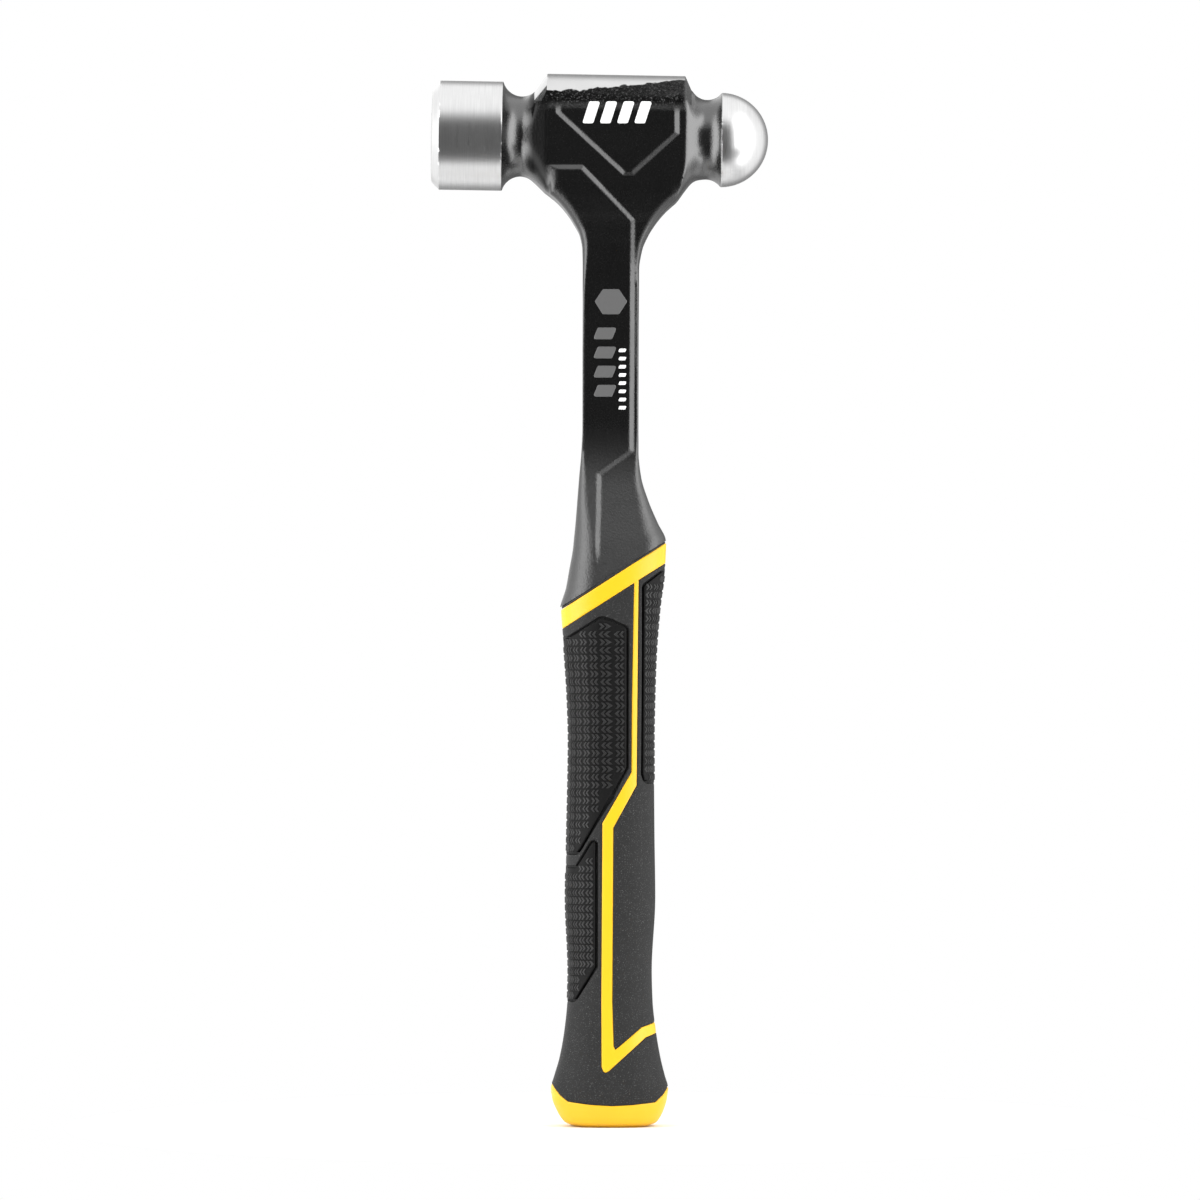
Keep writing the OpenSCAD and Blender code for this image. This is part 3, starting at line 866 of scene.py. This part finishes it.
def build_forging():
    """The forging's surface, from boxes round its head, its blade and its tang."""
    blocks = [((-67, -24.5, 336), (59, 24.5, 387)), ((-22.5, -18.5, 200), (22.5, 18.5, 337)),
              ((-22, -13, 28), (22, 13, 201))]
    verts, faces = dual_contour(forging_field, blocks, VOXEL)
    return new_piece("forging_surface", verts, faces, forging_material(), "forged_steel", "forging",
                     sharp=38)


def build_grip():
    """Skins, frame, pads, butt cap and seal, all on the grip's one surface."""
    lines, points, tris = make_layout()
    region, pocket = layout_regions(lines, points, tris)
    turns = np.linspace(0, 1, 97)
    grip_rubber = rubber_material("moulded_grip_rubber", 0.021, 0.45, 0.6, 0.16)
    pad_rubber = rubber_material("textured_pad_rubber", 0.004, 0.05, 0.55, 0.15)
    chevron_rubber = rubber_material("pad_chevron_rubber", 0.022, 0.1, 0.42, 0.4)
    yellow = accent_material()
    looks = {"grip_skin": ("grip_rubber", grip_rubber), "finger_skin": ("grip_rubber", grip_rubber),
             "accent_frame": ("accent_plastic", yellow), "palm_pad_upper": ("pad_rubber", pad_rubber),
             "palm_pad_lower": ("pad_rubber", pad_rubber), "finger_pad": ("pad_rubber", pad_rubber)}
    pockets = [lines[name + "_pocket"] for name in PADS]

    for name, (slot, look) in looks.items():
        own = tris[region[name]]
        border = [points[e] for e in region_border(points, own)]
        skin = name.endswith("skin")
        radius = 0.45 if skin else 0.35

        def height(p):
            top = -rounded_edge(line_distance(p, border), radius)
            if skin:
                away = line_distance(p, pockets)
                in_pocket = np.zeros(len(p), bool)
                for line in pockets:
                    in_pocket |= within(p, line, [])
                sunk = GROOVE_DEPTH * np.clip(away / 0.24, 0, 1)
                rim = 0.16 * np.clip(1 - away / 0.5, 0, 1) ** 2
                top = top - np.where(in_pocket, sunk + 0.16, rim)
            return top

        depth = PAD_T if name in PADS else SKIN_T
        parts = [layout_solid(points, own, height, depth)]
        if name in PADS:
            parts.append(chevrons(points, own, PAD_INNER_X[name]))
        verts, faces = mirrored(*joined(parts))
        piece = new_piece(name + "_surface", verts, faces, look, slot, name)
        if name in PADS:
            piece.data.materials.append(chevron_rubber)
            plain, half = len(parts[0][1]), len(faces) // 2
            for polygon in piece.data.polygons:
                polygon.material_index = int(polygon.index % half >= plain)

    cap = mirrored(*flatten_seam(*cap_solid(turns, lines)))
    new_piece("butt_cap_surface", *cap, yellow, "accent_plastic", "butt_cap")
    seal = mirrored(*flatten_seam(*seal_solid(turns)))
    new_piece("collar_seal_surface", *seal, even_look("seal_rubber", 0.012, 0.6), "seal_rubber",
              "collar_seal")


def rounded_outline(corners, radius, steps=5):
    """A polygon with its corners rounded."""
    out = []
    for k, corner in enumerate(corners):
        p, here, q = (np.array(corners[i % len(corners)], float) for i in (k - 1, k, k + 1))
        to_p, to_q = (p - here) / np.linalg.norm(p - here), (q - here) / np.linalg.norm(q - here)
        half = math.acos(np.clip(to_p @ to_q, -1, 1)) / 2
        a, b = here + to_p * radius / math.tan(half), here + to_q * radius / math.tan(half)
        for t in np.linspace(0, 1, steps):
            out.append((1 - t) ** 2 * a + 2 * t * (1 - t) * here + t ** 2 * b)
    return np.array(out)


def slanted_bar(x, z, width, height, slant, radius):
    """The outline of a bar about (x, z) whose top leans right by twice the slant."""
    w, h = width / 2, height / 2
    return rounded_outline([(x - w - slant, z - h), (x + w - slant, z - h),
                            (x + w + slant, z + h), (x - w + slant, z + h)], radius)


def raised_mark(outline, under, over, bevel, front=True):
    """A low closed plate on the front or back of the forging, with its upper edge bevelled."""
    middle, n = outline.mean(axis=0), len(outline)
    inward = middle - outline
    inner = outline + inward / np.linalg.norm(inward, axis=1)[:, None] * bevel
    rows = ((outline, under), (outline, over - bevel), (inner, over))
    verts = [(x, -depth, z) for line, depth in rows for x, z in line]
    faces = [[r * n + k, r * n + (k + 1) % n, (r + 1) * n + (k + 1) % n, (r + 1) * n + k]
             for r in range(2) for k in range(n)]
    faces += [list(range(2 * n, 3 * n)), list(range(n))[::-1]]
    verts = np.array(verts)
    if not front:
        verts, faces = verts * [1, -1, 1], [f[::-1] for f in faces]
    return verts, faces


def build_marks():
    """Plain generic marks where the tool carries its weight, badge and label."""
    white = even_look("white_print", 0.86, 0.45, **INK)
    casting = even_look("grey_casting", 0.10, 0.42, **INK)
    cheek, shaft = CHEEK_T + PANEL_RISE, SHAFT_T + PANEL_RISE
    weight = [slanted_bar(x, 370.9, 4.0, 8.0, 1.3, 0.8) for x in (-7.2, -0.9, 5.4, 11.7)]
    badge = [rounded_outline([(-6, 302.3), (-3, 307), (3, 307), (6, 302.3), (3, 297.6), (-3, 297.6)],
                             0.8)]
    badge += [slanted_bar(-2.2, z, 7.0, 4.4, 0.9, 0.9) for z in (290.6, 283.6, 276.6, 269.6)]
    label = [slanted_bar(4.2, z, 2.6, 1.3, 0.3, 0.45) for z in np.arange(263.4, 285, 3.0)]
    for name, outlines, material_, depth, rise, bevel in (
            ("weight_mark", weight, white, cheek, 0.14, 0.08),
            ("shaft_badge", badge, casting, shaft, 0.45, 0.25),
            ("shaft_label", label, white, shaft, 0.12, 0.06)):
        plates = [raised_mark(o, depth - 0.4, depth + rise, bevel) for o in outlines]
        if name == "shaft_badge":
            plates += [raised_mark(o[::-1] * [-1, 1], depth - 0.4, depth + rise, bevel, False)
                       for o in outlines]
        new_piece(name, *joined(plates), material_, "forged_steel")


def flatten_seam(verts, faces):
    """Put the points that are almost on the mirror plane exactly on it."""
    verts[np.abs(verts[:, 1]) < 1e-4, 1] = 0
    return verts, faces


def finish_inner_nodes():
    """The pieces inside the grip keep their CAD shape and get a moulded finish."""
    for name, look in (("grip_core", even_look("grip_core_plastic", 0.035, 0.5)),
                       ("tang_damper", even_look("tang_damper_rubber", 0.05, 0.7))):
        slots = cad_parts[name].data.materials
        slots.clear()
        slots.append(look)


# ------------------------ floor, light and camera

# Strength of the light tent's parts.
BOX_NEAR, BOX_FAR, BOX_BACK = 3.9, 2.0, 1.5        # side boxes: next to the front, far aside, behind
TENT_LOW, TENT_HIGH = 1.05, 1.6                    # the rest, below and above
DIM_RIGHT, DIM_FRONT, DIM_BACK = 0.6, 0.06, 0.3    # low on the right, straight ahead, straight behind


def make_world():
    """A light tent: bright at the sides, white above, dim in front, behind and low on the right.

    Each zone is a direction's share in it, from 0 to 1. The camera sees plain white instead."""
    world = bpy.data.worlds.new("studio")
    bpy.context.scene.world = world
    world.use_nodes = True
    tree = world.node_tree
    tree.nodes.clear()

    calc, times = partial(math_node, tree), partial(math_node, tree, "MULTIPLY")
    zone = partial(step_up, tree)

    x, y, z = node(tree, "ShaderNodeSeparateXYZ",
                   {0: node(tree, "ShaderNodeTexCoord").outputs["Generated"]}).outputs[:3]
    across, along = calc("ABSOLUTE", x), calc("MAXIMUM", calc("ABSOLUTE", y), 0.001)
    aside = calc("DIVIDE", across, along)
    steep = calc("DIVIDE", calc("ABSOLUTE", z), calc("MAXIMUM", across, 0.001))
    above = calc("DIVIDE", z, along)
    before = times(zone(above, 1.4, 0.4), zone(above, -2.6, -1.0))
    before = times(zone(aside, 0.8, 0.42), before)
    off_axis = calc("SQRT", calc("SUBTRACT", calc("DIVIDE", 1.0, times(along, along)), 1.0))
    behind = times(zone(off_axis, 1.5, 0.6), zone(x, -0.2, 0.0))
    boxes = times(zone(aside, 0.5, 0.85), zone(steep, 1.6, 1.1))
    low_right = times(zone(x, 0.28, 0.42), zone(z, -0.28, -0.42))
    low_right = times(low_right, zone(y, -0.35, -0.5))
    is_back = zone(y, -0.05, 0.05)
    box = mix_value(tree, zone(aside, 3.0, 8.0), BOX_NEAR, BOX_FAR)
    box = mix_value(tree, is_back, box, BOX_BACK)
    light = mix_value(tree, zone(z, -0.1, 0.1), TENT_LOW, TENT_HIGH)
    light = mix_value(tree, boxes, light, box)
    light = mix_value(tree, low_right, light, DIM_RIGHT)
    before = times(before, calc("SUBTRACT", 1.0, is_back))
    light = mix_value(tree, before, light, DIM_FRONT)
    light = mix_value(tree, times(behind, is_back), light, DIM_BACK)
    tent = node(tree, "ShaderNodeBackground", {"Color": grey(1.0), "Strength": light})
    plain = node(tree, "ShaderNodeBackground", {"Color": grey(1.0), "Strength": 1.0})
    seen = node(tree, "ShaderNodeLightPath").outputs["Is Camera Ray"]
    both = node(tree, "ShaderNodeMixShader", {0: seen, 1: tent.outputs[0], 2: plain.outputs[0]})
    node(tree, "ShaderNodeOutputWorld", {"Surface": both.outputs[0]})


def make_stage():
    """A pale round floor at the butt's height."""
    radius, rings = 0.2, 96
    verts = [(radius * math.cos(2 * math.pi * k / rings), radius * math.sin(2 * math.pi * k / rings), 0)
             for k in range(rings)]
    mesh = bpy.data.meshes.new("floor")
    mesh.from_pydata(verts, [], [list(range(rings))])
    floor = bpy.data.objects.new("floor", mesh)
    bpy.context.scene.collection.objects.link(floor)
    mat, tree, shader, at = material("pale_floor")
    tree.links.new(mix_colour(tree, noise(tree, at, 3, 2), grey(0.85), grey(0.88)),
                   shader.inputs["Base Color"])
    shader.inputs["Roughness"].default_value = 0.9
    shader.inputs["Specular IOR Level"].default_value = 0.1
    mesh.materials.append(mat)


def make_camera():
    """Square on to the cheeks from far off, so that the view is nearly without perspective."""
    view_w, distance, sensor = 440.4 * MM, 3.0, 36.0
    data = bpy.data.cameras.new("camera")
    data.sensor_width, data.lens = sensor, sensor * distance / view_w
    camera = bpy.data.objects.new("camera", data)
    camera.location = (-4.0 * MM, -distance, 193.0 * MM)
    camera.rotation_euler = (math.pi / 2, 0, 0)
    bpy.context.scene.collection.objects.link(camera)
    bpy.context.scene.camera = camera
    bpy.context.scene.view_settings.view_transform = "Standard"


make_camera()
make_world()
make_stage()
build_forging()
build_grip()
build_marks()
finish_inner_nodes()
